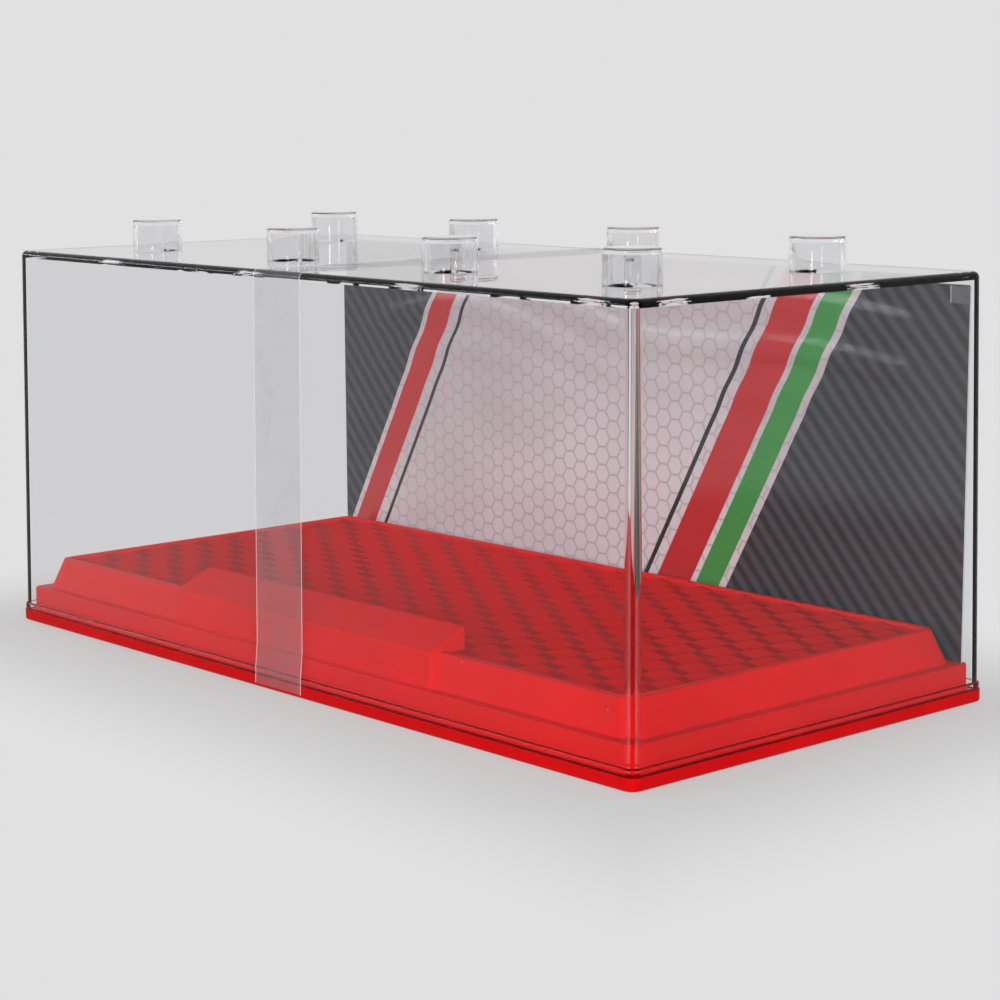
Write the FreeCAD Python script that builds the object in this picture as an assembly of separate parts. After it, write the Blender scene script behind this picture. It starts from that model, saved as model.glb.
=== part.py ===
"""Stacking display case: a red moulded base, a clear lift-off cover with hollow studs and a printed card."""
import FreeCAD, Part
import math
import os
from FreeCAD import Vector

# Driving dimensions, in millimetres. The origin is the centre of the base's underside, +X runs along
# the case to the right as seen from the front, the front is at -Y and +Z is up.

# Clear cover
COVER_LENGTH = 237.0
COVER_WIDTH = 115.9
COVER_HEIGHT = 98.1
COVER_WALL = 2.0
COVER_TOP_THICKNESS = 2.0
COVER_DRAFT_DEG = 0.79
COVER_CORNER_RADIUS = 2.5
COVER_TOP_EDGE_RADIUS = 1.4
BEAD_HEIGHT = 1.9
BEAD_PROUD = 0.5
BEAD_EDGE_RADIUS = 0.5

# Stacking studs on the cover
STUD_PITCH = 60.0
STUD_COLUMNS = 4
STUD_ROWS = 2
STUD_RADIUS = 6.6
STUD_HEIGHT = 8.2
STUD_WALL = 1.3
STUD_CAP_THICKNESS = 1.4
STUD_EDGE_RADIUS = 0.7

# Base moulding
FLANGE_HEIGHT = 3.0
FLANGE_PROUD = 0.6
FLANGE_EDGE_RADIUS = 0.6
FLANGE_CORNER_RADIUS = 2.8
BASE_WALL = 2.0
COVER_CLEARANCE = 0.5
UPSTAND_HEIGHT = 6.2
LEDGE_WIDTH = 2.9
SLOPE_RUN_END = 3.3
SLOPE_RUN_SIDE = 2.2
SLOPE_HEIGHT = 8.1
UPSTAND_CORNER_RADIUS = 2.0
PLINTH_CORNER_RADIUS = 3.0
BASE_EDGE_RADIUS = 0.4
RIM_WIDTH = 1.6
DECK_DEPTH = 1.6
SOCKET_CLEARANCE = 0.25
SOCKET_WALL = 1.6
RIB_THICKNESS = 1.6

# Raised name block, glued over the front rim
BLOCK_LENGTH = 100.0
BLOCK_DEPTH = 10.7
BLOCK_LEDGE_SEAT = 0.6
BLOCK_FRONT_HEIGHT = 8.3
BLOCK_TOP_RISE = 4.8
BLOCK_WALL = 2.0
BLOCK_EDGE_RADIUS = 0.5

# Printed card and its corner tabs
CARD_THICKNESS = 0.5
CARD_SIDE_CLEARANCE = 0.5
CARD_REAR_CLEARANCE = 0.5
CARD_TOP_CLEARANCE = 1.2
TAB_WIDTH = 6.0
TAB_HEIGHT = 4.0
TAB_THICKNESS = 0.12
TAB_TOP_MARGIN = 0.3

# Sealing tape
TAPE_WIDTH = 18.0
TAPE_THICKNESS = 0.12
TAPE_OFFSET_X = -1.5
TAPE_TAIL_LIFT = 0.3
TAPE_BRIDGE_HEIGHT = 6.0

# Levels and footprints worked out from the driving dimensions
DRAFT = math.tan(math.radians(COVER_DRAFT_DEG))
COVER_FOOT_Z = FLANGE_HEIGHT
COVER_TOP_Z = COVER_FOOT_Z + COVER_HEIGHT
CEILING_Z = COVER_TOP_Z - COVER_TOP_THICKNESS
LEDGE_Z = FLANGE_HEIGHT + UPSTAND_HEIGHT
RIM_Z = LEDGE_Z + SLOPE_HEIGHT
DECK_Z = RIM_Z - DECK_DEPTH
DECK_UNDERSIDE_Z = DECK_Z - BASE_WALL
SOCKET_RADIUS = STUD_RADIUS + SOCKET_CLEARANCE
MOULD_RADIUS = 0.6
OVERCUT = 1.0
PLANE_TOLERANCE = 1e-4


def cover_half(z, inset):
    """Half length and half width of the drafted cover at height z, moved in from its outside by inset."""
    shrink = DRAFT * (z - COVER_FOOT_Z) + inset
    return COVER_LENGTH / 2 - shrink, COVER_WIDTH / 2 - shrink


def rounded_rectangle(half, radius, z):
    """Closed wire of a rectangle with round corners, centred on the Z axis."""
    half_x, half_y = half
    diagonal = radius * (1 - math.sqrt(0.5))
    ends = []
    for sign_x, sign_y in ((1, -1), (1, 1), (-1, 1), (-1, -1)):
        middle = Vector(sign_x * (half_x - diagonal), sign_y * (half_y - diagonal), z)
        along_x = Vector(sign_x * (half_x - radius), sign_y * half_y, z)
        along_y = Vector(sign_x * half_x, sign_y * (half_y - radius), z)
        first, last = (along_x, along_y) if sign_x != sign_y else (along_y, along_x)
        ends.append((first, middle, last))
    edges = []
    for index, (first, middle, last) in enumerate(ends):
        edges.append(Part.Arc(first, middle, last).toShape())
        edges.append(Part.LineSegment(last, ends[(index + 1) % len(ends)][0]).toShape())
    return Part.Wire(edges)


def prism(half, radius, z_low, z_high):
    face = Part.Face(rounded_rectangle(half, radius, z_low))
    return face.extrude(Vector(0, 0, z_high - z_low))


def frustum(half_low, radius_low, z_low, half_high, radius_high, z_high):
    low = rounded_rectangle(half_low, radius_low, z_low)
    high = rounded_rectangle(half_high, radius_high, z_high)
    return Part.makeLoft([low, high], True, True)


def smaller(half, inset_x, inset_y):
    return half[0] - inset_x, half[1] - inset_y


def inner_radius(radius, inset):
    """Corner radius that stays concentric with an outer corner, and never sharper than the mould's own."""
    return max(radius - inset, MOULD_RADIUS)


def top_edges(shape, z):
    """The edges that lie in the plane at height z."""
    found = []
    for edge in shape.Edges:
        box = edge.BoundBox
        if abs(box.ZMin - z) < PLANE_TOLERANCE and abs(box.ZMax - z) < PLANE_TOLERANCE:
            found.append(edge)
    return found


def stud_places():
    places = []
    for column in range(STUD_COLUMNS):
        for row in range(STUD_ROWS):
            x = (column - (STUD_COLUMNS - 1) / 2) * STUD_PITCH
            y = (row - (STUD_ROWS - 1) / 2) * STUD_PITCH
            places.append((x, y))
    return places


# Upper body of the base: drafted upstand, ledge, sloped sides and rim, all at one inset
UPSTAND_INSET = COVER_WALL + COVER_CLEARANCE
SLOPE_FOOT = smaller(cover_half(LEDGE_Z, UPSTAND_INSET), LEDGE_WIDTH, LEDGE_WIDTH)
RIM = smaller(SLOPE_FOOT, SLOPE_RUN_END, SLOPE_RUN_SIDE)


def base_steps(inset, z_low, ledge_z, top_z):
    """The upstand, from z_low to the ledge, and the sloped plinth on it, both moved in by inset."""
    upstand = frustum(
        cover_half(FLANGE_HEIGHT, UPSTAND_INSET + inset), inner_radius(UPSTAND_CORNER_RADIUS, inset), z_low,
        cover_half(LEDGE_Z, UPSTAND_INSET + inset), inner_radius(UPSTAND_CORNER_RADIUS, inset), ledge_z)
    plinth = frustum(
        smaller(SLOPE_FOOT, inset, inset), inner_radius(PLINTH_CORNER_RADIUS, inset), ledge_z,
        smaller(RIM, inset, inset), inner_radius(PLINTH_CORNER_RADIUS, inset), top_z)
    return upstand, plinth


def base_outside():
    """Outside of the base above the flange, with the edges of the ledge and the rim rounded."""
    upstand, plinth = base_steps(0, FLANGE_HEIGHT, LEDGE_Z, RIM_Z)
    upstand = upstand.makeFillet(BASE_EDGE_RADIUS, top_edges(upstand, LEDGE_Z))
    plinth = plinth.makeFillet(BASE_EDGE_RADIUS, top_edges(plinth, RIM_Z))
    return upstand.fuse(plinth)


def base_hollow(z_low):
    upstand, plinth = base_steps(BASE_WALL, z_low, LEDGE_Z - BASE_WALL, DECK_UNDERSIDE_Z)
    return upstand.fuse(plinth)


def deck_recess():
    half = smaller(RIM, RIM_WIDTH, RIM_WIDTH)
    return prism(half, inner_radius(PLINTH_CORNER_RADIUS, RIM_WIDTH), DECK_Z, RIM_Z + OVERCUT)


def make_base_tray():
    flange = prism(cover_half(COVER_FOOT_Z, -FLANGE_PROUD), FLANGE_CORNER_RADIUS, 0, FLANGE_HEIGHT)
    flange = flange.makeFillet(FLANGE_EDGE_RADIUS, top_edges(flange, 0))
    body = flange.fuse(base_outside())
    body = body.cut(deck_recess()).cut(base_hollow(-OVERCUT))
    return body.fuse(make_socket_grid()).removeSplitter()


def make_socket_grid():
    """Eight stud sockets under the deck, tied to each other and to the end walls by one rib per row."""
    depth = DECK_UNDERSIDE_Z
    rib_length = COVER_LENGTH
    grid = []
    for row in range(STUD_ROWS):
        y = (row - (STUD_ROWS - 1) / 2) * STUD_PITCH
        corner = Vector(-rib_length / 2, y - RIB_THICKNESS / 2, 0)
        grid.append(Part.makeBox(rib_length, RIB_THICKNESS, depth, corner))
    for x, y in stud_places():
        grid.append(Part.makeCylinder(SOCKET_RADIUS + SOCKET_WALL, depth, Vector(x, y, 0)))
    solid = grid[0].multiFuse(grid[1:]).common(base_hollow(0))
    for x, y in stud_places():
        solid = solid.cut(Part.makeCylinder(SOCKET_RADIUS, depth, Vector(x, y, 0)))
    return solid


def make_clear_cover():
    outer = frustum(
        cover_half(COVER_FOOT_Z, 0), COVER_CORNER_RADIUS, COVER_FOOT_Z,
        cover_half(COVER_TOP_Z, 0), COVER_CORNER_RADIUS, COVER_TOP_Z)
    outer = outer.makeFillet(COVER_TOP_EDGE_RADIUS, top_edges(outer, COVER_TOP_Z))
    corner = inner_radius(COVER_CORNER_RADIUS, COVER_WALL)
    inner = frustum(
        cover_half(COVER_FOOT_Z, COVER_WALL), corner, COVER_FOOT_Z,
        cover_half(CEILING_Z, COVER_WALL), corner, CEILING_Z)
    bead = prism(cover_half(COVER_FOOT_Z, -BEAD_PROUD), COVER_CORNER_RADIUS + BEAD_PROUD, COVER_FOOT_Z,
                 COVER_FOOT_Z + BEAD_HEIGHT)
    bead = bead.makeFillet(BEAD_EDGE_RADIUS, top_edges(bead, COVER_FOOT_Z + BEAD_HEIGHT))
    cover = outer.fuse(bead).cut(inner)
    for x, y in stud_places():
        foot = Vector(x, y, COVER_TOP_Z)
        stud = Part.makeCylinder(STUD_RADIUS, STUD_HEIGHT, foot)
        stud = stud.makeFillet(STUD_EDGE_RADIUS, top_edges(stud, COVER_TOP_Z + STUD_HEIGHT))
        bore_depth = COVER_TOP_THICKNESS + STUD_HEIGHT - STUD_CAP_THICKNESS
        bore = Part.makeCylinder(STUD_RADIUS - STUD_WALL, bore_depth, Vector(x, y, CEILING_Z))
        cover = cover.fuse(stud).cut(bore)
    return cover.removeSplitter()


def make_name_block():
    """Hollow wedge with a tilted top: its front foot stands on the ledge and its rear foot on the deck."""
    front_y = -SLOPE_FOOT[1] - BLOCK_LEDGE_SEAT
    rear_y = front_y + BLOCK_DEPTH
    front_top = LEDGE_Z + BLOCK_FRONT_HEIGHT
    rear_top = front_top + BLOCK_TOP_RISE
    left = -BLOCK_LENGTH / 2

    def wedge(inset, z_foot):
        drop = inset * math.hypot(BLOCK_DEPTH, BLOCK_TOP_RISE) / BLOCK_DEPTH
        slope = BLOCK_TOP_RISE / BLOCK_DEPTH
        points = [
            Vector(left + inset, front_y + inset, z_foot),
            Vector(left + inset, front_y + inset, front_top - drop + slope * inset),
            Vector(left + inset, rear_y - inset, rear_top - drop - slope * inset),
            Vector(left + inset, rear_y - inset, z_foot)]
        face = Part.Face(Part.makePolygon(points + points[:1]))
        return face.extrude(Vector(BLOCK_LENGTH - 2 * inset, 0, 0))

    block = wedge(0, LEDGE_Z)
    upper = [edge for edge in block.Edges if edge.BoundBox.ZMax > front_top - PLANE_TOLERANCE]
    block = block.makeFillet(BLOCK_EDGE_RADIUS, upper)
    block = block.cut(wedge(BLOCK_WALL, LEDGE_Z - OVERCUT))
    return block.cut(base_outside().cut(deck_recess())).removeSplitter()


CARD_BACK_Y = cover_half(CEILING_Z, COVER_WALL)[1] - CARD_REAR_CLEARANCE
CARD_FRONT_Y = CARD_BACK_Y - CARD_THICKNESS
CARD_TOP_Z = CEILING_Z - CARD_TOP_CLEARANCE
CARD_HALF = cover_half(CEILING_Z, COVER_WALL)[0] - CARD_SIDE_CLEARANCE


def make_backdrop_card():
    corner = Vector(-CARD_HALF, CARD_FRONT_Y, LEDGE_Z)
    return Part.makeBox(2 * CARD_HALF, CARD_THICKNESS, CARD_TOP_Z - LEDGE_Z, corner)


def make_card_tab(side):
    """Flat clear tab on the card's face that reaches over its end edge to the cover's end wall."""
    top = CARD_TOP_Z - TAB_TOP_MARGIN
    wall_x = cover_half(top, COVER_WALL)[0]
    near, far = sorted((side * (wall_x - TAB_WIDTH), side * wall_x))
    corner = Vector(near, CARD_FRONT_Y - TAB_THICKNESS, top - TAB_HEIGHT)
    return Part.makeBox(far - near, TAB_THICKNESS, TAB_HEIGHT, corner)


def cover_slice(grow):
    """Slice as wide as the tape inside the line that it takes from the bead to the wall and over the top."""
    x = TAPE_OFFSET_X - TAPE_WIDTH / 2
    foot = cover_half(COVER_FOOT_Z, 0)[1] + BEAD_PROUD + grow
    shoulder_z = COVER_FOOT_Z + BEAD_HEIGHT
    landing_z = shoulder_z + TAPE_BRIDGE_HEIGHT
    landing = cover_half(landing_z, 0)[1] + grow
    crown = cover_half(COVER_TOP_Z, 0)[1] + grow
    top_z = COVER_TOP_Z + grow
    side = [Vector(x, foot, COVER_FOOT_Z), Vector(x, foot, shoulder_z), Vector(x, landing, landing_z),
            Vector(x, crown, top_z)]
    other = [Vector(x, -point.y, point.z) for point in reversed(side)]
    points = side + other
    solid = Part.Face(Part.makePolygon(points + points[:1])).extrude(Vector(TAPE_WIDTH, 0, 0))
    crowns = [edge for edge in top_edges(solid, top_z) if edge.BoundBox.XLength > TAPE_WIDTH / 2]
    return solid.makeFillet(COVER_TOP_EDGE_RADIUS + grow, crowns)


def make_cover_tape():
    return cover_slice(TAPE_THICKNESS).cut(cover_slice(0))


def make_tape_tail(side):
    """End of the tape left on the flange, below the seam where the tape is slit."""
    face_y = cover_half(COVER_FOOT_Z, -FLANGE_PROUD)[1]
    low, high = sorted((side * face_y, side * (face_y + TAPE_THICKNESS)))
    z_low = FLANGE_EDGE_RADIUS + TAPE_TAIL_LIFT
    corner = Vector(TAPE_OFFSET_X - TAPE_WIDTH / 2, low, z_low)
    return Part.makeBox(TAPE_WIDTH, high - low, FLANGE_HEIGHT - z_low, corner)


NODES = {
    "base_tray": make_base_tray(),
    "name_block": make_name_block(),
    "clear_cover": make_clear_cover(),
    "backdrop_card": make_backdrop_card(),
    "card_tab_left": make_card_tab(-1),
    "card_tab_right": make_card_tab(1),
    "seal_tape": make_cover_tape(),
    "tape_tail_front": make_tape_tail(-1),
    "tape_tail_rear": make_tape_tail(1),
}

os.makedirs("parts", exist_ok=True)
for name, shape in NODES.items():
    shape.exportStep("parts/" + name + ".step")
    box = shape.optimalBoundingBox()
    print(name, "solids", len(shape.Solids), "valid", shape.isValid(), "volume", round(shape.Volume, 1),
          "box", [round(v, 2) for v in (box.XMin, box.YMin, box.ZMin, box.XMax, box.YMax, box.ZMax)])
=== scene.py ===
# %% [markdown]
# # A stacking display case
# The case is a red moulded base, a clear cover that lifts off it, a printed card along the rear wall and
# a strip of clear tape round the middle. Studs on the cover take the sockets of a case that stands on top.
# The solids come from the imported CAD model, which is loaded as a fixed frame in metres. CAD holds the sizes
# and the fits. This script adds what it leaves out: a finish on every solid, the relief that is moulded into
# the deck, the low waves of the card, a hair of air under the tape, and then the floor, light and camera.

# %% Load the frame
import bpy
import bmesh
import math
from mathutils import Matrix, Vector


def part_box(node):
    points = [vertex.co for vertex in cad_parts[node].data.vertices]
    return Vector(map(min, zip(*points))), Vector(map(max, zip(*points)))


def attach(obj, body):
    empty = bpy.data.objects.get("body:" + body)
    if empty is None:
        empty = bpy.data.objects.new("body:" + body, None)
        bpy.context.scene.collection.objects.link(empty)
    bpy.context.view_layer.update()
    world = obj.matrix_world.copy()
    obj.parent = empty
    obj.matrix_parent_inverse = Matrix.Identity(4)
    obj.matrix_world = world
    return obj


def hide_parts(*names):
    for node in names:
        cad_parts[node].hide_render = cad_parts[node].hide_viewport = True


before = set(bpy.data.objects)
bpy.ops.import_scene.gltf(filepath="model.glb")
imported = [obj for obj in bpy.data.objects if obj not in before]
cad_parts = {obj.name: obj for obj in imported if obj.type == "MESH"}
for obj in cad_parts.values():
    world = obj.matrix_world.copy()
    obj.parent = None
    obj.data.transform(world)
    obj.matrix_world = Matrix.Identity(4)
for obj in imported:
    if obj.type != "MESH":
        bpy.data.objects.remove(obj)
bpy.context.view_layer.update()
MM = 0.001
scene = bpy.context.scene

# %% [markdown]
# ## Helpers for shader nodes
# Every finish here is a node tree. Trees can be drawn by hand in the shader editor, but a script can be read
# and changed in one place. Wiring each node takes many lines, so small helpers do it: one adds a node and
# fills its inputs, and the others are the few steps that every finish needs. A value that is a socket is
# linked, and a plain number or colour is typed into the socket.


# %% Node helpers
def plug(tree, value, socket):
    """Links a value that is a socket, and types in one that is a plain number or colour."""
    if isinstance(value, bpy.types.NodeSocket):
        tree.links.new(value, socket)
    else:
        socket.default_value = value


def add_node(tree, kind, settings=None, **inputs):
    """Adds a node, sets its properties, and fills its inputs by name or by index (i0, i1, ...)."""
    node = tree.nodes.new(kind)
    for key, value in (settings or {}).items():
        setattr(node, key, value)
    for key, value in inputs.items():
        by_index = key[0] == "i" and key[1:].isdigit()
        plug(tree, value, node.inputs[int(key[1:]) if by_index else key])
    return node


def maths(tree, operation, first, second=0.0, third=0.0):
    """One arithmetic step; the result is a socket."""
    settings = {"operation": operation}
    return add_node(tree, "ShaderNodeMath", settings, i0=first, i1=second, i2=third).outputs[0]


print("node helpers ready")


# %% Colour and pattern helpers
def blend_colour(tree, mask, below, above):
    """Colour that goes from below to above as the mask goes from 0 to 1."""
    node = add_node(tree, "ShaderNodeMix", {"data_type": "RGBA"}, i0=mask, i6=below, i7=above)
    return node.outputs[2]


def steps(tree, value, low, high, low_out=0.0, high_out=1.0):
    """Smooth ramp of a value between two levels."""
    node = add_node(tree, "ShaderNodeMapRange", {"interpolation_type": "SMOOTHSTEP"},
                    i0=value, i1=low, i2=high, i3=low_out, i4=high_out)
    return node.outputs[0]


def noise(tree, vector, scale, detail=3.0, roughness=0.5):
    """Cloudy value between 0 and 1; the scale is in clouds per metre."""
    node = add_node(tree, "ShaderNodeTexNoise", {"noise_dimensions": "3D"}, Vector=vector, Scale=scale,
                    Detail=detail, Roughness=roughness)
    return node.outputs["Fac"]


def bump(tree, height, strength, depth):
    """Normal of a surface with a fine relief; a height from 0 to 1 spans the depth."""
    node = add_node(tree, "ShaderNodeBump", Strength=strength, Distance=depth, Height=height)
    return node.outputs["Normal"]


def place(tree):
    """Object coordinates: a point's place in the frame, in metres."""
    return add_node(tree, "ShaderNodeTexCoord").outputs["Object"]


def axes(tree):
    """The place as the sockets X, Y and Z."""
    return add_node(tree, "ShaderNodeSeparateXYZ", Vector=place(tree)).outputs


print("colour and pattern helpers ready")


# %% Material and piece helpers
def new_material(name):
    """A material with a bare Principled BSDF; gives the material, its tree and the shader."""
    material = bpy.data.materials.new(name)
    material.use_nodes = True
    tree = material.node_tree
    return material, tree, tree.nodes["Principled BSDF"]


def fill(tree, shader, **values):
    """Fills a shader's inputs by name, with _ for each space."""
    for key, value in values.items():
        plug(tree, value, shader.inputs[key.replace("_", " ")])


def dress(node_name, material):
    """Gives a CAD node its material."""
    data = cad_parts[node_name].data
    data.materials.clear()
    data.materials.append(material)


def new_piece(name, data, body, slot, *materials):
    """Puts a mesh into the scene as a piece that moves with a body; the slot argument is not used."""
    for material in materials:
        data.materials.append(material)
    piece = bpy.data.objects.new(name, data)
    scene.collection.objects.link(piece)
    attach(piece, body)
    return piece


def finished_mesh(name, mesh):
    """Mesh data from an edit mesh, with its faces turned outwards."""
    bmesh.ops.recalc_face_normals(mesh, faces=mesh.faces)
    data = bpy.data.meshes.new(name)
    mesh.to_mesh(data)
    mesh.free()
    return data


print("material and piece helpers ready")

# %% [markdown]
# ## Shared effect: handling marks
# Moulded plastic that has been packed and handled carries faint smears, a fine grain and a little dust. A
# painted texture would need UVs on every solid. A node group on object coordinates needs none, and it is
# built once for the red base, the clear cover and the tape, each with its own size of smear. It puts out a
# smear mask, a grain height and a sparse speck mask.

# %% Group of handling marks
SMEAR_LEVELS = (0.42, 0.72)
GRAIN_SCALE = 1800.0
SPECK_SCALE = 240.0
SPECK_RADII = (0.05, 0.09)
DUSTY_PATCH_SCALE = 90.0
DUSTY_PATCH_LEVELS = (0.60, 0.66)


def handling_marks_group():
    """Smear mask, grain height and sparse speck mask for a place in metres."""
    group = bpy.data.node_groups.new("handling marks", "ShaderNodeTree")
    face = group.interface
    face.new_socket("Place", in_out="INPUT", socket_type="NodeSocketVector")
    for name, value in (("Smear scale", 0.0), ("Grain scale", GRAIN_SCALE), ("Speck scale", SPECK_SCALE)):
        face.new_socket(name, in_out="INPUT", socket_type="NodeSocketFloat").default_value = value
    for name in ("Smear", "Grain", "Speck"):
        face.new_socket(name, in_out="OUTPUT", socket_type="NodeSocketFloat")
    given = group.nodes.new("NodeGroupInput").outputs
    out = group.nodes.new("NodeGroupOutput").inputs
    clouds = noise(group, given["Place"], given["Smear scale"], 4.0, 0.6)
    plug(group, steps(group, clouds, *SMEAR_LEVELS), out["Smear"])
    plug(group, noise(group, given["Place"], given["Grain scale"], 2.0, 0.5), out["Grain"])
    cells = add_node(group, "ShaderNodeTexVoronoi", {"feature": "F1"}, Vector=given["Place"],
                     Scale=given["Speck scale"])
    dots = steps(group, cells.outputs["Distance"], *SPECK_RADII, 1.0, 0.0)
    patches = noise(group, given["Place"], DUSTY_PATCH_SCALE, 1.0)
    kept = steps(group, patches, *DUSTY_PATCH_LEVELS)
    plug(group, maths(group, "MULTIPLY", dots, kept), out["Speck"])
    return group


MARKS = handling_marks_group()


def marks(tree, smear_scale):
    """The group in a material's tree; gives the sockets Smear, Grain and Speck."""
    node = add_node(tree, "ShaderNodeGroup", {"node_tree": MARKS}, Place=place(tree))
    plug(tree, smear_scale, node.inputs["Smear scale"])
    return node.outputs


print("group sockets", [item.name for item in MARKS.interface.items_tree])

# %% [markdown]
# ## Red plastic
# The base and the name block are one red plastic. The flange at the foot is polished and all that stands
# above it has a satin grain. Above the flange the red is also painted brighter than on it: painted light that
# makes up for the light the clear cover takes from the inside. The flange and the steps are one solid, so one
# material changes with the height instead of being split over faces. The colour itself is nearly flat on a
# moulding, so slow smears mix a deep and a bright tone, and a few pale specks of dust lie on top. The deck
# has its own copy, which takes the mix from a value stored on each face of the relief, as painted shade of
# its rhombi.

# %% Red tones
FLANGE_TONES = ((0.56, 0.0022, 0.0035, 1), (0.62, 0.0030, 0.0045, 1))
# Above the flange the red is painted brighter: painted light for the light the cover takes from the inside.
SATIN_TONES_PAINTED_BRIGHTER = ((0.70, 0.0030, 0.0045, 1), (0.78, 0.0040, 0.0055, 1))
# The deck's pair is painted shade between the three facet directions, and it is painted brighter like the
# satin.
DECK_FACET_SHADE_TONES = ((0.60, 0.0022, 0.0034, 1), (0.72, 0.0028, 0.0040, 1))
DUST = (0.62, 0.30, 0.30, 1)
DUST_STRENGTH = 0.5
RED_SMEAR_SCALE = 30.0
SATIN_ROUGHNESS = (0.40, 0.52)
FLANGE_POLISH = 0.6
SATIN_GLOSS = 0.05
DECK_GLOSS = 0.004
FLANGE_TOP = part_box("clear_cover")[0].z
FLANGE_BLEND = 0.2 * MM
GRAIN_STRENGTH = 0.12
GRAIN_DEPTH = 0.06 * MM
print("the flange ends at", round(FLANGE_TOP / MM, 2), "mm, where the cover stands on it")


# %% Red plastic
def red_plastic(name, tones, gloss, facet_shade_name=None):
    """Red moulding with a polished foot, painted brighter above it as painted light. Its tones are mixed by
    smears, or by a face value of painted facet shade whose name is given.
    """
    material, tree, shader = new_material(name)
    wear = marks(tree, RED_SMEAR_SCALE)
    tone = wear["Smear"]
    if facet_shade_name:
        tone = add_node(tree, "ShaderNodeAttribute", {"attribute_name": facet_shade_name}).outputs["Fac"]
    # Above the flange: a real satin roughness, and a red painted brighter as painted light.
    above = steps(tree, axes(tree)["Z"], FLANGE_TOP, FLANGE_TOP + FLANGE_BLEND)
    flange = blend_colour(tree, tone, *FLANGE_TONES)
    colour = blend_colour(tree, above, flange, blend_colour(tree, tone, *tones))
    dusty = maths(tree, "MULTIPLY", wear["Speck"], DUST_STRENGTH)
    dull = steps(tree, wear["Smear"], 0.0, 1.0, *SATIN_ROUGHNESS)
    polish = steps(tree, above, 0.0, 1.0, FLANGE_POLISH, 1.0)
    fill(tree, shader, Base_Color=blend_colour(tree, dusty, colour, DUST), Specular_IOR_Level=gloss,
         Roughness=maths(tree, "MULTIPLY", dull, polish),
         Normal=bump(tree, wear["Grain"], GRAIN_STRENGTH, GRAIN_DEPTH))
    return material


RED = red_plastic("red plastic", SATIN_TONES_PAINTED_BRIGHTER, SATIN_GLOSS)
# The deck's red is mixed by each face's stored value, which is painted shade by facet direction.
DECK_RED = red_plastic("deck red", DECK_FACET_SHADE_TONES, DECK_GLOSS, "tone")
for name in ("base_tray", "name_block"):
    dress(name, RED)
print("red plastic on base_tray and name_block")

# %% [markdown]
# ## Clear plastic
# The cover is a clear hard plastic two millimetres thick. It could be faked as a faint see-through skin, but
# its solid is closed, so a refracting shader gives the dark edges and the bright glints by itself.
# Two settings need a word. Rays that go straight to a lamp pass through the walls, because light that has to
# refract its way in would leave the deck dark and noisy. And the flat walls mirror little, because a strong
# mirror would veil the red behind them with the pale room. Only the round studs have a coat of full polish.

# %% Clear plastic
CLEAR_TINT = (0.91, 0.91, 0.92, 1)
WALL_MIRROR = (0.06, 0.06, 0.06, 1)
LAMP_PASS = (0.98, 0.98, 0.985, 1)
COVER_IOR = 1.49
COVER_SMEAR_SCALE = 22.0
COVER_ROUGHNESS = (0.0, 0.012)
STUD_ROUGHNESS = 0.04
STUD_HEIGHT = 8.2 * MM
STUD_POLISH = (0.3 * MM, 0.8 * MM)


def clear_plastic():
    """Refracting plastic for the cover, with polished studs; shadow rays go straight through."""
    material, tree, shader = new_material("clear plastic")
    smear = marks(tree, COVER_SMEAR_SCALE)["Smear"]
    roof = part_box("clear_cover")[1].z - STUD_HEIGHT
    studs = steps(tree, axes(tree)["Z"], roof + STUD_POLISH[0], roof + STUD_POLISH[1])
    fill(tree, shader, Base_Color=CLEAR_TINT, IOR=COVER_IOR, Transmission_Weight=1.0,
         Specular_Tint=WALL_MIRROR, Roughness=steps(tree, smear, 0.0, 1.0, *COVER_ROUGHNESS),
         Coat_Weight=studs, Coat_Roughness=STUD_ROUGHNESS)
    clear = add_node(tree, "ShaderNodeBsdfTransparent", Color=LAMP_PASS)
    to_lamp = add_node(tree, "ShaderNodeLightPath").outputs["Is Shadow Ray"]
    mix = add_node(tree, "ShaderNodeMixShader", i0=to_lamp, i1=shader.outputs[0], i2=clear.outputs[0])
    plug(tree, mix.outputs[0], tree.nodes["Material Output"].inputs["Surface"])
    return material


dress("clear_cover", clear_plastic())
print("clear plastic on clear_cover")

# %% [markdown]
# ## Clear film
# The tape and the card's tabs are thin film stuck flat on another surface. A full refraction there would
# only cost time, so the film is a weak grey layer: mostly see-through, with a painted highlight as a crisp
# paler line along each cut edge.

# %% Clear film
FILM_GREY = (0.34, 0.34, 0.36, 1)
FILM_EDGE_HIGHLIGHT = (0.90, 0.90, 0.91, 1)
FILM_ALPHA = (0.12, 0.162)
EDGE_HIGHLIGHT_ALPHA = 0.45
FILM_IOR = 1.45
FILM_SMEAR_SCALE = 60.0
FILM_ROUGHNESS = (0.18, 0.32)
EDGE_HIGHLIGHT_WIDTH = 0.35 * MM


def clear_film(name, left, right):
    """Film between two places along the case, with a painted highlight as a pale line along both cut edges.
    """
    material, tree, shader = new_material(name)
    smear = marks(tree, FILM_SMEAR_SCALE)["Smear"]
    along = axes(tree)["X"]
    near_left = steps(tree, along, left, left + EDGE_HIGHLIGHT_WIDTH, 1.0, 0.0)
    near_right = steps(tree, along, right - EDGE_HIGHLIGHT_WIDTH, right, 0.0, 1.0)
    # The pale, denser line along both cut edges is a painted highlight.
    edge = maths(tree, "MAXIMUM", near_left, near_right)
    film = steps(tree, smear, 0.0, 1.0, *FILM_ALPHA)
    fill(tree, shader, Base_Color=blend_colour(tree, edge, FILM_GREY, FILM_EDGE_HIGHLIGHT), IOR=FILM_IOR,
         Alpha=maths(tree, "MAXIMUM", film, maths(tree, "MULTIPLY", edge, EDGE_HIGHLIGHT_ALPHA)),
         Roughness=steps(tree, smear, 0.0, 1.0, *FILM_ROUGHNESS))
    return material


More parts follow.
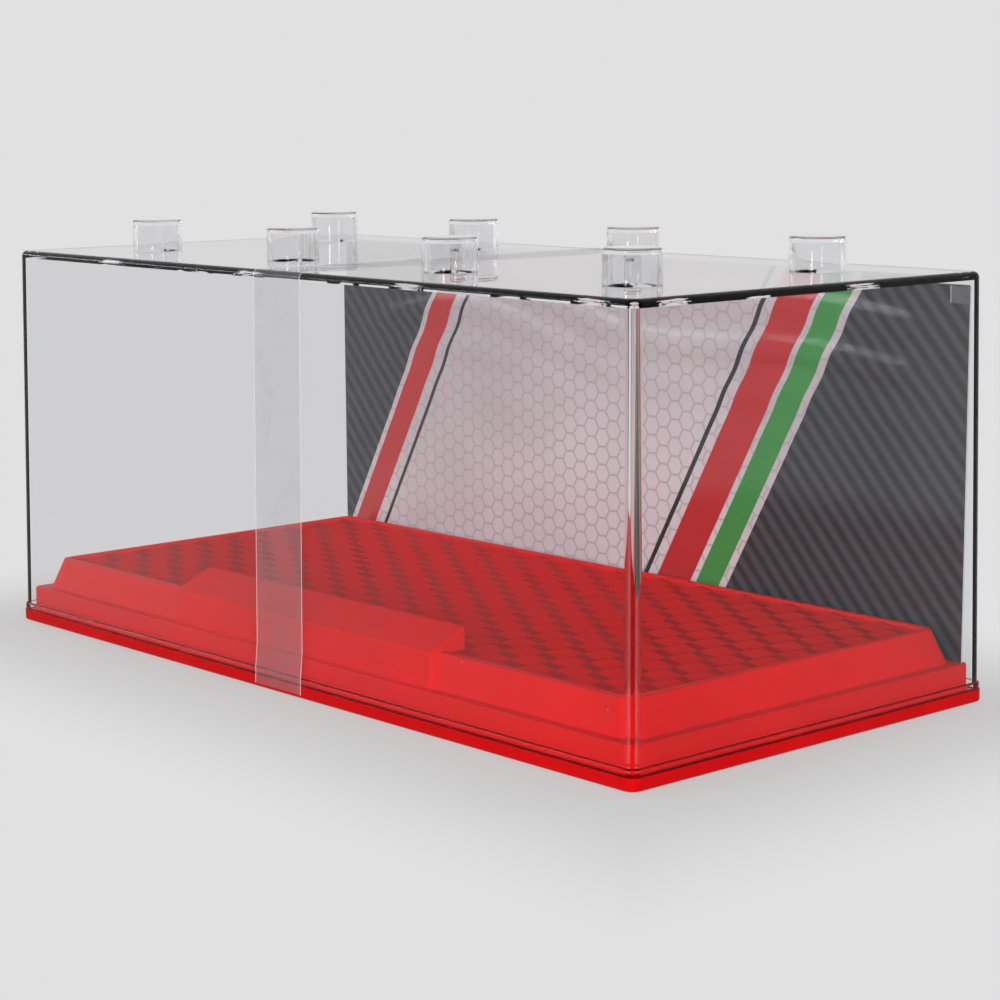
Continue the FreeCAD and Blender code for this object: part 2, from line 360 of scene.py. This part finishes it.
TAPE_LOW, TAPE_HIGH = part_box("seal_tape")
print("tape from", round(TAPE_LOW.x / MM, 1), "to", round(TAPE_HIGH.x / MM, 1), "mm along the case")

# %% [markdown]
# ## Film that stands clear of what it is stuck to
# In the CAD model the film lies exactly on the cover, the flange or the card. A ray tracer can't tell two
# surfaces at one place apart, so each strip is drawn from a copy of its solid that stands a few hundredths
# of a millimetre off, and the copy takes the place of the solid. The tape goes over the top of the cover, so
# its copy is spread about its foot; the short strips are flat and only move away from what carries them.

# %% Film strips
AIR_GAP = 0.04 * MM


def film_strip(name, body, spread, shift):
    """Copy of a film solid, spread about the foot of the tape in Y and Z and then shifted in Y."""
    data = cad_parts[name].data.copy()
    data.name = name + "_film"
    data.materials.clear()
    foot_z = TAPE_LOW.z
    for vert in data.vertices:
        vert.co.y = vert.co.y * (1 + spread / TAPE_HIGH.y) + shift
        vert.co.z = foot_z + (vert.co.z - foot_z) * (1 + spread / (TAPE_HIGH.z - foot_z))
    low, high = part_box(name)
    film = clear_film("clear film " + name, low.x, high.x)
    strip = new_piece(name + "_film", data, body, "clear_film", film)
    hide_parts(name)


film_strip("seal_tape", "cover", AIR_GAP, 0.0)
film_strip("tape_tail_front", "base", 0.0, -AIR_GAP)
film_strip("tape_tail_rear", "base", 0.0, AIR_GAP)
film_strip("card_tab_left", "cover", 0.0, -AIR_GAP)
film_strip("card_tab_right", "cover", 0.0, -AIR_GAP)
print("five film strips, lifted by", AIR_GAP / MM, "mm")

# %% [markdown]
# ## Printed card
# The card has a pale honeycomb ground with bold leaning stripes and dark ribbed fields at its ends. An image
# would need UVs and would blur close up, so the print is worked out from the place on the card, in
# millimetres. The honeycomb is a group: two interleaved grids of cell centres give the distance to the
# nearest one, and the line is where that distance comes close to half the hexagon's width. A stripe is the
# band between two levels of a slanted coordinate.


# %% Honeycomb group
def honeycomb_group():
    """Line mask of flat-topped hexagons in the plane of a value pair, in millimetres."""
    group = bpy.data.node_groups.new("honeycomb", "ShaderNodeTree")
    face = group.interface
    for name, value in (("Across", 0.0), ("Up", 0.0), ("Side", 2.8), ("Line", 0.5)):
        face.new_socket(name, in_out="INPUT", socket_type="NodeSocketFloat").default_value = value
    face.new_socket("Line mask", in_out="OUTPUT", socket_type="NodeSocketFloat")
    given = group.nodes.new("NodeGroupInput").outputs
    out = group.nodes.new("NodeGroupOutput").inputs
    width = maths(group, "MULTIPLY", given["Side"], 3.0)
    height = maths(group, "MULTIPLY", given["Side"], math.sqrt(3))

    def from_centre(value, period, share):
        """Distance from the nearest cell centre along one axis, for a grid moved by a share of its period."""
        moved = maths(group, "ADD", value, maths(group, "MULTIPLY", period, share))
        wrapped = maths(group, "FLOORED_MODULO", moved, period)
        offset = maths(group, "SUBTRACT", wrapped, maths(group, "MULTIPLY", period, 0.5))
        return maths(group, "ABSOLUTE", offset)

    def grid(share):
        """Distance from the nearest cell centre, measured square to the hexagon's sides."""
        across = from_centre(given["Across"], width, share)
        up = from_centre(given["Up"], height, share)
        slanted = maths(group, "MULTIPLY_ADD", up, 0.5, maths(group, "MULTIPLY", across, math.sqrt(0.75)))
        return maths(group, "MAXIMUM", up, slanted)

    nearest = maths(group, "MINIMUM", grid(0.0), grid(0.5))
    apothem = maths(group, "MULTIPLY", given["Side"], math.sqrt(0.75))
    inner = maths(group, "SUBTRACT", apothem, given["Line"])
    plug(group, steps(group, nearest, inner, apothem), out["Line mask"])
    return group


HONEYCOMB = honeycomb_group()
print("group sockets", [item.name for item in HONEYCOMB.interface.items_tree])

# %% Inks
PAPER = ((0.50, 0.45, 0.47, 1), (0.64, 0.585, 0.61, 1))
HEXAGON_LINE = (0.42, 0.385, 0.40, 1)
RED_INK = (0.46, 0.010, 0.013, 1)
GREEN_INK = (0.035, 0.25, 0.045, 1)
CHARCOAL_INK = (0.014, 0.015, 0.018, 1)
SLATE_INK = (0.048, 0.050, 0.064, 1)
STRIPE_LEAN = 0.55
STRIPE_LEVEL = 53.0
STRIPE_SOFTNESS = 0.12
RIB_LEAN = 0.9
RIB_TURN = 1.25
RIB_LEVELS = (-0.8, 0.9)
PAST_THE_CARD = 200.0
PAPER_CLOUD_SCALE = 14.0
PAPER_CLOUD_LEVELS = (0.3, 0.7)
LAMINATE_ROUGHNESS = 0.13
LAMINATE_FIBRE_SCALE = 900.0
print("stripes lean by", round(math.degrees(math.atan(STRIPE_LEAN))), "degrees")


# %% Printed card
def printed_card():
    """Laminated print: honeycomb ground, leaning stripes, ribbed dark fields; lengths in millimetres."""
    material, tree, shader = new_material("printed card")
    spot = axes(tree)
    across = maths(tree, "DIVIDE", spot["X"], MM)
    up = maths(tree, "DIVIDE", spot["Z"], MM)
    cells = add_node(tree, "ShaderNodeGroup", {"node_tree": HONEYCOMB}, Across=across, Up=up)
    shade = steps(tree, noise(tree, place(tree), PAPER_CLOUD_SCALE, 2.0), *PAPER_CLOUD_LEVELS)
    colour = blend_colour(tree, shade, *PAPER)
    colour = blend_colour(tree, cells.outputs["Line mask"], colour, HEXAGON_LINE)
    above_level = maths(tree, "SUBTRACT", up, STRIPE_LEVEL)
    slant = maths(tree, "MULTIPLY_ADD", above_level, -STRIPE_LEAN, across)

    def band(low, high):
        """Mask of the stripe between two levels of the slanted coordinate."""
        rise = steps(tree, slant, low - STRIPE_SOFTNESS, low + STRIPE_SOFTNESS)
        fall = steps(tree, slant, high - STRIPE_SOFTNESS, high + STRIPE_SOFTNESS, 1.0, 0.0)
        return maths(tree, "MULTIPLY", rise, fall)

    along_ribs = maths(tree, "MULTIPLY_ADD", up, RIB_LEAN, across)
    ribs = maths(tree, "SINE", maths(tree, "MULTIPLY", along_ribs, RIB_TURN))
    field = blend_colour(tree, steps(tree, ribs, *RIB_LEVELS), CHARCOAL_INK, SLATE_INK)
    stripes = ((30.0, 31.6, CHARCOAL_INK), (35.0, 47.0, RED_INK), (49.0, 57.0, GREEN_INK),
               (59.5, PAST_THE_CARD, field), (-77.0, -75.6, CHARCOAL_INK), (-90.0, -81.0, RED_INK),
               (-PAST_THE_CARD, -92.0, field))
    for low, high, ink in stripes:
        colour = blend_colour(tree, band(low, high), colour, ink)
    fibre = noise(tree, place(tree), LAMINATE_FIBRE_SCALE, 2.0)
    fill(tree, shader, Base_Color=colour, Roughness=LAMINATE_ROUGHNESS, Specular_IOR_Level=0.5,
         Normal=bump(tree, fibre, 0.1, 0.05 * MM))
    return material


PRINT = printed_card()
print("printed card has", len(PRINT.node_tree.nodes), "nodes")

# %% [markdown]
# ## Bare board
# The card is printed on one side only. Its back, seen from behind the case, and its cut edges are plain pale
# board with a soft fibre, so they have a material of their own.

# %% Bare board
BOARD_GREYS = ((0.56, 0.55, 0.53, 1), (0.68, 0.67, 0.65, 1))
BOARD_CLOUD_SCALE = 120.0
BOARD_FIBRE_SCALE = 1500.0


def bare_board():
    """Unprinted board: cloudy pale grey, dull, with a soft fibre."""
    material, tree, shader = new_material("bare board")
    cloud = noise(tree, place(tree), BOARD_CLOUD_SCALE, 4.0, 0.65)
    fibre = noise(tree, place(tree), BOARD_FIBRE_SCALE, 3.0)
    fill(tree, shader, Base_Color=blend_colour(tree, cloud, *BOARD_GREYS), Roughness=0.7,
         Specular_IOR_Level=0.2, Normal=bump(tree, fibre, 0.3, 0.1 * MM))
    return material


BOARD = bare_board()
print("bare board has", len(BOARD.node_tree.nodes), "nodes")

# %% [markdown]
# ## Card that bows
# A thin card held only at its foot and its ends never stays flat. Towards its top it bows forward in long low
# waves, and the laminate shows them as bright streaks. Bump could fake the streaks, but waves of this size
# change the outline too, so the card is a fine grid with real waves, closed at the back and along its edges.

# %% Waves of the card
WAVE_HEIGHT = 0.75 * MM
WAVE_LENGTH = 11.5 * MM
WAVE_FOOT = 48.0 * MM
WAVE_RISE = 34.0 * MM
HELD_END = 6.0 * MM
END_FADE = 16.0 * MM
DRIFTS = ((0.7, 48.0 * MM, 0.0), (0.3, 19.0 * MM, 1.3))


def eased(share):
    """Smooth step from 0 to 1."""
    share = min(max(share, 0.0), 1.0)
    return share * share * (3 - 2 * share)


def card_bow(x, z, half):
    """How far the card stands forward at one place; half is half its length."""
    loose = eased((z - WAVE_FOOT) / WAVE_RISE)
    free = eased((half - abs(x) - HELD_END) / END_FADE)
    drift = sum(share * math.sin(x / length + phase) for share, length, phase in DRIFTS)
    crest = 0.5 + 0.5 * math.sin(2 * math.pi * (z / WAVE_LENGTH + drift))
    return WAVE_HEIGHT * loose * free * crest


print("waves up to", WAVE_HEIGHT / MM, "mm")

# %% Wavy card
CARD_COLUMNS = 120
CARD_ROWS = 96
CARD_CREASE = math.radians(40)


def card_sheet(mesh, y, low, high):
    """One side of the card as rows of vertices, from the foot up."""
    xs = [low.x + (high.x - low.x) * column / CARD_COLUMNS for column in range(CARD_COLUMNS + 1)]
    zs = [low.z + (high.z - low.z) * row / CARD_ROWS for row in range(CARD_ROWS + 1)]
    return [[mesh.verts.new((x, y - card_bow(x, z, high.x), z)) for x in xs] for z in zs]


def wavy_card():
    """Closed grid: print in front, bare board at the back and on the four edges."""
    low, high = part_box("backdrop_card")
    mesh = bmesh.new()
    front, back = (card_sheet(mesh, y, low, high) for y in (low.y, high.y))
    for side, sheet in enumerate((front, back)):
        for lower, upper in zip(sheet, sheet[1:]):
            for column in range(CARD_COLUMNS):
                ring = lower[column:column + 2] + upper[column:column + 2][::-1]
                mesh.faces.new(ring).material_index = side
    edges = [(front[row], back[row]) for row in (0, -1)]
    edges += [([row[end] for row in front], [row[end] for row in back]) for end in (0, -1)]
    for near, far in edges:
        for step in range(len(near) - 1):
            mesh.faces.new(near[step:step + 2] + far[step:step + 2][::-1]).material_index = 1
    for face in mesh.faces:
        face.smooth = True
    data = finished_mesh("backdrop_card_print", mesh)
    data.set_sharp_from_angle(angle=CARD_CREASE)
    card = new_piece("backdrop_card_print", data, "cover", "printed_card", PRINT, BOARD)
    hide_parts("backdrop_card")
    return card


print("card faces", len(wavy_card().data.polygons))

# %% [markdown]
# ## Deck relief
# The deck is moulded with a tumbling-block pattern: flat rhombi in three directions, each hexagon reading as
# a low cube. Height is linear inside a rhombus if the centre stands highest, every second corner is half as
# high and the others are lowest, so the whole field is made of flat faces with shared corners. Bump would
# stay flat at a low angle, so the faces are real. The field is drawn larger than the deck, trimmed by eight
# planes and closed below. Each of the three directions keeps a value on its faces, which the deck's red turns
# into painted shade: the three directions are painted in three steps from dark to light.

# %% Tumbling blocks
RELIEF_COLUMN = 7.35 * MM
RELIEF_ROW = 10.3 * MM
RELIEF_HEIGHT = 1.3 * MM
CORNER_LEVELS = (0.5, 0.0, 0.5, 0.0, 0.5, 0.0)
WELD = 0.01 * MM


def hexagon(x, y, foot_z):
    """Centre and six corners of one hexagon of the pattern."""
    side = RELIEF_COLUMN / 1.5
    half_row = RELIEF_ROW / 2
    ring = ((side, 0), (side / 2, half_row), (-side / 2, half_row),
            (-side, 0), (-side / 2, -half_row), (side / 2, -half_row))
    corners = [(x + dx, y + dy, foot_z + RELIEF_HEIGHT * level)
               for (dx, dy), level in zip(ring, CORNER_LEVELS)]
    return (x, y, foot_z + RELIEF_HEIGHT), corners


def add_blocks(mesh, half_x, half_y, foot_z):
    """Covers a little more than the given half sizes with rhombi, three to a hexagon."""
    tone = mesh.faces.layers.float.new("tone")
    columns = int(half_x / RELIEF_COLUMN) + 2
    rows = int(half_y / RELIEF_ROW) + 2
    for column in range(-columns, columns + 1):
        shift = RELIEF_ROW / 2 if column % 2 else 0.0
        for row in range(-rows, rows + 1):
            centre, corners = hexagon(column * RELIEF_COLUMN, row * RELIEF_ROW + shift, foot_z)
            for first in (0, 2, 4):
                points = [centre] + [corners[(first + step) % 6] for step in range(3)]
                face = mesh.faces.new([mesh.verts.new(point) for point in points])
                # Painted shade: each rhombus direction gets its own step from dark to light.
                face[tone] = first / 4
    bmesh.ops.remove_doubles(mesh, verts=mesh.verts, dist=WELD)


print("hexagons every", RELIEF_COLUMN / MM, "by", RELIEF_ROW / MM, "mm")

# %% Deck relief
RELIEF_LOW = 0.15 * MM
DECK_DEPTH = 1.6 * MM
PLINTH_SETBACK = (9.39 * MM, 8.29 * MM)
RIM_WIDTH = 1.6 * MM
RIM_GAP = 0.25 * MM
RECESS_CORNER = 1.4 * MM


def trim_field(mesh, half_x, half_y):
    """Cuts the field along the four sides of the recess and across its four round corners."""
    diagonal = (half_x + half_y) * math.sqrt(0.5) - RECESS_CORNER * (math.sqrt(2) - 1)
    cuts = [((1, 0, 0), half_x), ((-1, 0, 0), half_x), ((0, 1, 0), half_y), ((0, -1, 0), half_y)]
    cuts += [(Vector((x, y, 0)).normalized(), diagonal) for x in (-1, 1) for y in (-1, 1)]
    for normal, reach in cuts:
        everything = mesh.verts[:] + mesh.edges[:] + mesh.faces[:]
        bmesh.ops.bisect_plane(mesh, geom=everything, plane_co=Vector(normal) * reach, plane_no=normal,
                               clear_outer=True)


def close_below(mesh, deck_z):
    """Draws the border down to the deck and closes the underside."""
    border = [edge for edge in mesh.edges if edge.is_boundary]
    skirt = bmesh.ops.extrude_edge_only(mesh, edges=border)["geom"]
    for vert in (item for item in skirt if isinstance(item, bmesh.types.BMVert)):
        vert.co.z = deck_z
    bmesh.ops.holes_fill(mesh, edges=[edge for edge in mesh.edges if edge.is_boundary])


def deck_relief():
    """The field of blocks on the deck, inside the raised rim."""
    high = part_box("base_tray")[1]
    deck_z = high.z - DECK_DEPTH
    half_x, half_y = (high[axis] - PLINTH_SETBACK[axis] - RIM_WIDTH - RIM_GAP for axis in (0, 1))
    mesh = bmesh.new()
    add_blocks(mesh, half_x, half_y, deck_z + RELIEF_LOW)
    trim_field(mesh, half_x, half_y)
    close_below(mesh, deck_z)
    return new_piece("deck_relief", finished_mesh("deck_relief", mesh), "base", "red_plastic", DECK_RED)


print("deck relief faces", len(deck_relief().data.polygons))

# %% [markdown]
# ## Floor and background
# The background is one flat pale grey. A lit backdrop would shade from side to side, so the world shows that
# grey as it is to the camera, off gloss and through the clear walls, and lights dull surfaces with a dimmer
# grey. The floor takes a soft shadow near the case and fades into the background's grey further out.

# %% Background grey
BACKGROUND = 0.753
BACKGROUND_GREY = (BACKGROUND, BACKGROUND, BACKGROUND, 1)
ROOM_GREY = (0.11, 0.11, 0.115, 1)


def shows_background(tree):
    """1 for rays from the camera, direct, off gloss or through clear plastic; 0 after a dull surface."""
    path = add_node(tree, "ShaderNodeLightPath").outputs
    clear_way = maths(tree, "MAXIMUM", path["Is Transmission Ray"], path["Is Glossy Ray"])
    seen = maths(tree, "MAXIMUM", path["Is Camera Ray"], clear_way)
    return maths(tree, "MULTIPLY", seen, maths(tree, "LESS_THAN", path["Diffuse Depth"], 0.5))


def pale_world():
    """Background's grey where it is seen, room's grey where it only lights."""
    world = bpy.data.worlds.new("pale world")
    scene.world = world
    world.use_nodes = True
    tree = world.node_tree
    room = tree.nodes["Background"]
    plug(tree, ROOM_GREY, room.inputs["Color"])
    shown = add_node(tree, "ShaderNodeBackground", Color=BACKGROUND_GREY, Strength=1.0)
    mix = add_node(tree, "ShaderNodeMixShader", i0=shows_background(tree), i1=room.outputs[0],
                   i2=shown.outputs[0])
    plug(tree, mix.outputs[0], tree.nodes["World Output"].inputs["Surface"])


pale_world()
scene.view_settings.view_transform = "Standard"
print("world at", BACKGROUND)

# %% Floor
FLOOR_HALF = 6.0
FLOOR_DROP = 0.2 * MM
FLOOR_GREY = (0.72, 0.72, 0.72, 1)
SHADOW_HALF = (118.0 * MM, 58.0 * MM)
SHADOW_FADE = 70.0 * MM
GLOW_AT_CASE = 0.5


def pale_floor():
    """Dull floor that fades into the background's grey as it leaves the case."""
    material, tree, shader = new_material("pale floor")
    fill(tree, shader, Base_Color=FLOOR_GREY, Roughness=0.9)
    glow = add_node(tree, "ShaderNodeEmission", Color=BACKGROUND_GREY, Strength=1.0)
    spot = axes(tree)
    beyond = [maths(tree, "SUBTRACT", maths(tree, "ABSOLUTE", spot[axis]), half)
              for axis, half in zip("XY", SHADOW_HALF)]
    far = steps(tree, maths(tree, "MAXIMUM", *beyond), 0.0, SHADOW_FADE, GLOW_AT_CASE, 1.0)
    share = maths(tree, "MULTIPLY", far, shows_background(tree))
    mix = add_node(tree, "ShaderNodeMixShader", i0=share, i1=shader.outputs[0], i2=glow.outputs[0])
    plug(tree, mix.outputs[0], tree.nodes["Material Output"].inputs["Surface"])
    data = bpy.data.meshes.new("floor")
    corners = ((-1, -1), (1, -1), (1, 1), (-1, 1))
    data.from_pydata([(x * FLOOR_HALF, y * FLOOR_HALF, -FLOOR_DROP) for x, y in corners], [], [(0, 1, 2, 3)])
    data.materials.append(material)
    floor = bpy.data.objects.new("floor", data)
    scene.collection.objects.link(floor)


pale_floor()
print("floor of", 2 * FLOOR_HALF, "m")

# %% [markdown]
# ## Light
# Soft boxes stand round the case, the strongest at the right, so that every side can be read. Light comes to
# the inside in two ways: straight from a lamp, as the cover lets such rays pass, and by rays that leave the
# deck, go through the cover and meet a lamp. Both together would light the inside twice, so the big boxes
# are hidden from clear and glossy rays. Three weak lamps stay in sight of them for their glints: the box
# overhead, a narrow strip for the streak on each stud, and a long strip at the left for the card's sheen.

# %% Lamps
CASE_MIDDLE = Vector((0.0, 0.0, 0.05))


def soft_box(name, stand, size, power, glints=False):
    """Rectangular lamp that faces the case; only one with glints is seen in gloss and through the cover."""
    lamp = bpy.data.lights.new(name, "AREA")
    lamp.shape = "RECTANGLE"
    lamp.size, lamp.size_y = size
    lamp.energy = power
    thing = bpy.data.objects.new(name, lamp)
    scene.collection.objects.link(thing)
    thing.location = stand
    thing.rotation_euler = (CASE_MIDDLE - Vector(stand)).to_track_quat("-Z", "Y").to_euler()
    thing.visible_transmission = glints
    thing.visible_glossy = glints


soft_box("front box", (-0.35, -1.2, 0.28), (0.8, 0.4), 2.1)
soft_box("right box", (1.02, -0.72, 0.28), (0.5, 0.4), 13.2)
soft_box("left box", (-1.25, 0.15, 0.28), (0.5, 0.4), 7.0)
soft_box("rear box", (0.1, 1.25, 0.28), (0.8, 0.4), 8.0)
soft_box("overhead box", (0.1, -0.1, 1.0), (0.9, 0.9), 0.6, glints=True)
soft_box("stud strip", (0.46, -1.11, 0.30), (0.10, 0.4), 1.1, glints=True)
soft_box("card strip", (-1.0, -0.87, 0.42), (0.9, 0.24), 3.4, glints=True)
print("lamps", sorted(lamp.name for lamp in bpy.data.lights))

# %% [markdown]
# ## Camera
# The camera stands to the front right of the case, a little above it, with a long lens and no shift. Its
# place and its three angles are set by themselves, and the axes of its frame are built from them: the axis
# that points back from the view, the level axis square to it, and a small roll about the view.

# %% Camera
CAMERA_PLACE = Vector((465.4, -404.0, 141.0)) * MM
CAMERA_AZIMUTH = math.radians(48.205)
CAMERA_PITCH = math.radians(9.272)
CAMERA_ROLL = math.radians(-0.319)
CAMERA_LENS = 88.76


def case_camera():
    """Camera at its place, turned by azimuth, pitch and roll."""
    back = Vector((math.sin(CAMERA_AZIMUTH) * math.cos(CAMERA_PITCH),
                   -math.cos(CAMERA_AZIMUTH) * math.cos(CAMERA_PITCH), math.sin(CAMERA_PITCH)))
    level = Vector((math.cos(CAMERA_AZIMUTH), math.sin(CAMERA_AZIMUTH), 0.0))
    right = math.cos(CAMERA_ROLL) * level + math.sin(CAMERA_ROLL) * back.cross(level)
    turn = Matrix((right, back.cross(right), back)).transposed().to_4x4()
    lens = bpy.data.cameras.new("case camera")
    lens.sensor_width = 36.0
    lens.lens = CAMERA_LENS
    lens.clip_start = 0.01
    camera = bpy.data.objects.new("case camera", lens)
    scene.collection.objects.link(camera)
    camera.matrix_world = Matrix.Translation(CAMERA_PLACE) @ turn
    scene.camera = camera


case_camera()
print("camera at", [round(value, 3) for value in CAMERA_PLACE])
